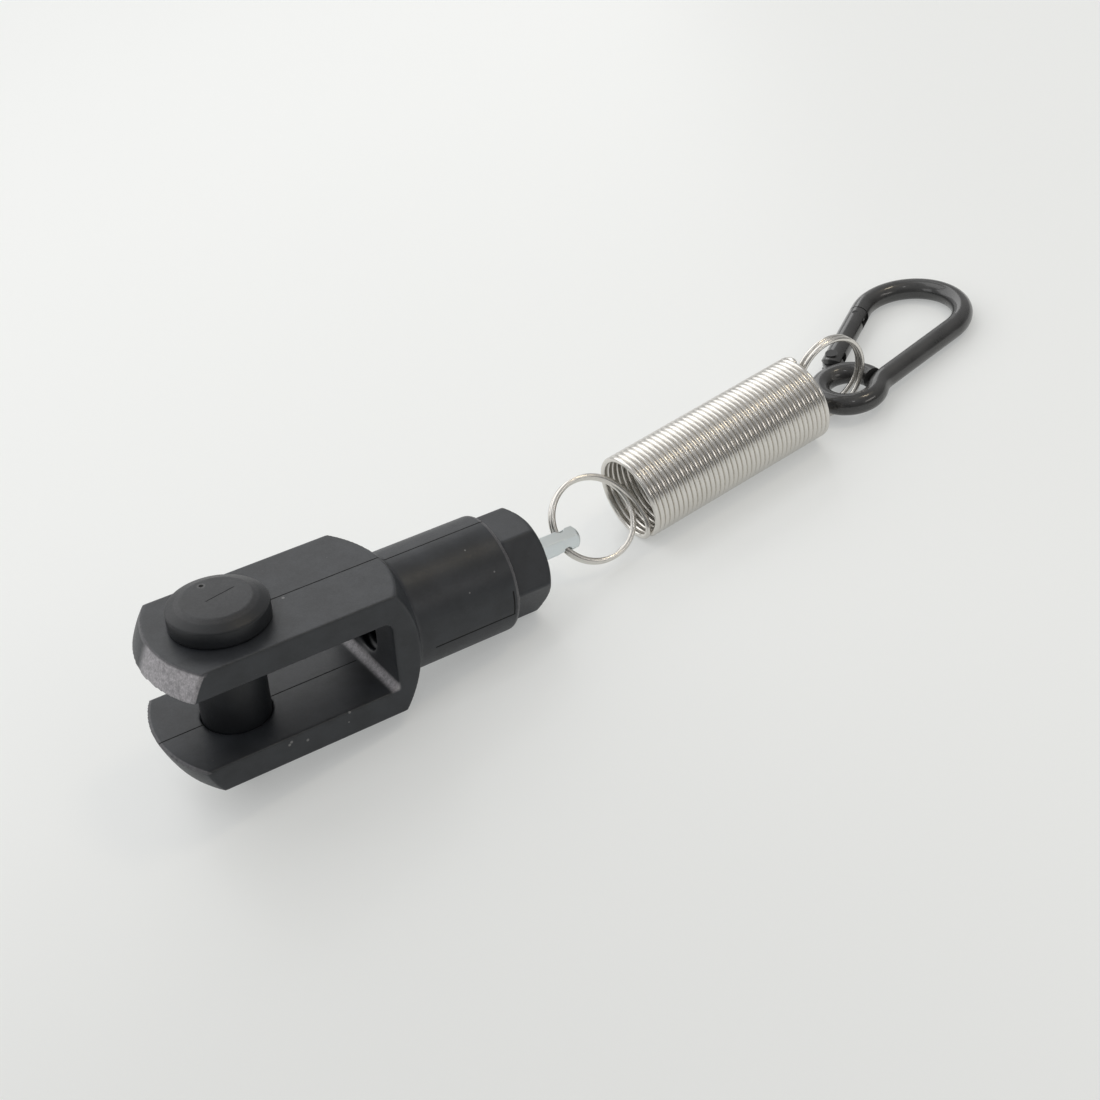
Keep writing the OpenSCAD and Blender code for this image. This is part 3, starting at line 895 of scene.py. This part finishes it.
def tongue_outline():
    """The tongue on the nose, with the notch that takes the latch pin."""
    steps = 12
    outline = [Vector((TONGUE_ROOT, -TONGUE_HALF, 0)), Vector((TONGUE_TIP, -TONGUE_HALF, 0)),
        Vector((TONGUE_TIP, TONGUE_HALF, 0)), Vector((NOTCH_X + NOTCH_R, TONGUE_HALF, 0))]
    for i in range(steps + 1):
        turn = math.radians(-180 * i / steps)
        outline.append(Vector((NOTCH_X + NOTCH_R * math.cos(turn),
            NOTCH_R * math.sin(turn), 0)))
    outline += [Vector((NOTCH_X - NOTCH_R, TONGUE_HALF, 0)),
        Vector((TONGUE_ROOT, TONGUE_HALF, 0))]
    return outline


def make_hook(material):
    mesh = swept_wire("hook_wire", hook_line(), HOOK_R, hook_way, HOOK_SIDES)
    wire = add_piece("hook_wire", mesh, material, "hook")
    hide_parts("hook_body")
    mesh = plate("hinge_lug", lug_outline(), LUG_T, gate_way)
    add_piece("hinge_lug", mesh, material, "hook")
    mesh = plate("catch_tongue", tongue_outline(), TONGUE_T, gate_way)
    add_piece("catch_tongue", mesh, material, "hook")


def finish_carried(finishes):
    """Gives each CAD node that is shown as it is its own finish."""
    for name, finish in finishes.items():
        carried = frame["nodes"][name]
        carried.data.materials.clear()
        carried.data.materials.append(finish)


# ---------------------------------------------------------------- camera and room

CAMERA_AT = Vector((-0.047003, -0.221753, 0.182786))
CAMERA_VIEW = Vector((0.35087, 0.70403, -0.61744))
CAMERA_UP = Vector((0.47738, 0.43277, 0.76474))
CAMERA_LENS = 55.94
LAMPS_LOOK_AT = Vector((0.075, 0, 0))
FLOOR_R = 6

ROOM_IN_FRONT = shade(0.115)
ROOM_BEHIND = shade(0.4)
ROOM_OVERHEAD = shade(0.42)
PALE_WALL = (0.83, 0.84, 0.83, 1)
BEHIND_WAY = (0.1, 0.9, 0.3)


def facing(view, up):
    """The turn of a camera or lamp that looks along view."""
    back = -view.normalized()
    right = up.cross(back).normalized()
    return Matrix((right, back.cross(right), back)).transposed().to_4x4()


def add_camera():
    data = bpy.data.cameras.new("camera")
    data.lens = CAMERA_LENS
    data.sensor_width = 36
    data.clip_start = 0.01
    data.clip_end = 30
    camera = link("camera", data)
    camera.matrix_world = Matrix.Translation(CAMERA_AT) @ facing(CAMERA_VIEW, CAMERA_UP)
    bpy.context.scene.camera = camera


def add_softbox(name, azimuth, elevation, distance, size, watts, tint=(1, 1, 1)):
    """A flat lamp that looks at the object from the given direction, in degrees."""
    az = math.radians(azimuth)
    el = math.radians(elevation)
    outward = Vector((math.cos(az) * math.cos(el), math.sin(az) * math.cos(el),
        math.sin(el)))
    data = bpy.data.lights.new(name, "AREA")
    data.shape = "RECTANGLE"
    data.size, data.size_y = size
    data.energy = watts
    data.color = tint
    lamp = link(name, data)
    place = Matrix.Translation(LAMPS_LOOK_AT + outward * distance)
    lamp.matrix_world = place @ facing(-outward, Z)


def add_floor():
    bm = bmesh.new()
    bmesh.ops.create_circle(bm, cap_ends=True, segments=96, radius=FLOOR_R)
    bmesh.ops.translate(bm, verts=bm.verts, vec=(0, 0, floor_z * MM))
    mesh = mesh_of(bm, "floor")
    mesh.materials.append(floor_paint())
    link("floor", mesh)


def add_world():
    """A dim room, brighter overhead and behind; the camera sees a pale wall."""
    world = bpy.data.worlds.new("room")
    bpy.context.scene.world = world
    world.use_nodes = True
    tree = world.node_tree
    lamp = tree.nodes["Background"]
    lamp.inputs["Strength"].default_value = 1
    view = node(tree, "TexCoord").outputs["Generated"]
    height = node(tree, "SeparateXYZ", Vector=view).outputs["Z"]
    behind = node(tree, "VectorMath", {"operation": "DOT_PRODUCT"}, _0=view,
        _1=BEHIND_WAY).outputs["Value"]
    side = mix_colour(tree, above(tree, behind, (-0.6, 0.7)), ROOM_IN_FRONT, ROOM_BEHIND)
    sky = mix_colour(tree, above(tree, height, (0.25, 0.9)), side, ROOM_OVERHEAD)
    by_camera = node(tree, "LightPath").outputs["Is Camera Ray"]
    tree.links.new(mix_colour(tree, by_camera, sky, PALE_WALL), lamp.inputs["Color"])


def add_lamps():
    """Two broad lights behind, a weaker one to the left, and small ones in front."""
    add_softbox("back_window", azimuth=95, elevation=32, distance=1.3, size=(2.2, 0.8),
        watts=6.6)
    add_softbox("ceiling_light", azimuth=100, elevation=64, distance=1.4, size=(1.1, 0.6),
        watts=2.1)
    add_softbox("left_window", azimuth=178, elevation=24, distance=1.2, size=(0.5, 0.5),
        watts=0.9)
    add_softbox("warm_spot", azimuth=-20, elevation=61, distance=1.0, size=(0.17, 0.17),
        watts=0.75, tint=(1, 0.87, 0.66))
    add_softbox("front_strip", azimuth=-62, elevation=24, distance=0.9, size=(0.5, 0.16),
        watts=0.6, tint=(1, 0.96, 0.92))
    add_softbox("high_spot", azimuth=-103, elevation=62, distance=1.0, size=(0.1, 0.1),
        watts=0.2)


# ---------------------------------------------------------------- putting it together

add_camera()
add_world()
add_lamps()
add_floor()

# The fork and the pin are one black plastic, given as a lit copy and a shaded copy: the pin's
# lower level is painted shade on its head.
fork_skin = fork_plastic(level=0.033)
pin_skin = pin_plastic(level=0.019)
zinc = bright_metal("zinc_plate", fork_way, level=0.96, tint=(0.93, 1.0, 1.02), rough=0.38,
    metal=0.9)
spring_steel = bright_metal("spring_steel", spring_way, level=0.86,
    tint=(1.0, 0.972, 0.92), rough=0.24, streak=(0.6, 0.6, 0.6), wear=0.05, metal=0.95)
clip_steel = bright_metal("clip_steel", fork_way, level=0.4, tint=(1.0, 0.98, 0.95),
    rough=0.35)
inner_steel = bright_metal("inner_steel", gate_way, level=0.6, tint=(1, 1, 1), rough=0.3)
rivet_steel = bright_metal("rivet_steel", gate_way, level=0.09, tint=(1, 1, 1), rough=0.35)
hook_paint = coated_steel("hook_paint", level=0.045, gloss=0.26)

make_fork(fork_skin)
make_pin(pin_skin)
make_rod(zinc)
make_spring(spring_steel)
make_hook(hook_paint)
finish_carried({"rod_bush": zinc, "retaining_clip": clip_steel, "hook_gate": hook_paint,
    "gate_rivet": rivet_steel, "latch_pin": rivet_steel, "gate_plunger": inner_steel,
    "gate_spring": inner_steel})

bpy.context.scene.view_settings.view_transform = "Standard"
